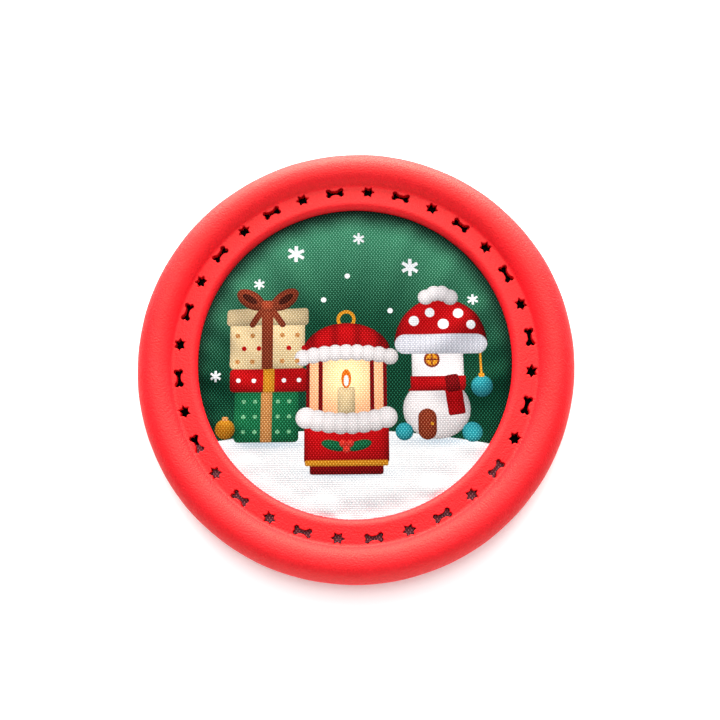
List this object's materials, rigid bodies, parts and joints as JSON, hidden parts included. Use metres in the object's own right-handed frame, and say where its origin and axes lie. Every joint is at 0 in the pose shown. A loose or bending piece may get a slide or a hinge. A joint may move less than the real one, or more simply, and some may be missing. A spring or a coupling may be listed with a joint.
{
  "type": "flying ring",
  "caption": "Soft flying disc for lawn games: a fat foam-rubber rim with small cut-out windows, holding a printed woven fabric panel across its middle.",
  "frame": {"origin": "centre of the disc, at the middle of its thickness, in the fabric's mid-plane", "axes": "+Z out of the printed face, +Y towards the top of the print, +X to the right of the print"},
  "size_m": [0.23, 0.23, 0.02],
  "materials": {
    "rim_rubber": "matt red foam rubber with a fine pebbled moulded skin",
    "panel_fabric": "plain-woven polyester with a green and white winter print"
  },
  "bodies": {
    "root": {"rim_front": "rim_rubber", "rim_back": "rim_rubber", "fabric_panel": "panel_fabric"}
  },
  "joints": []
}
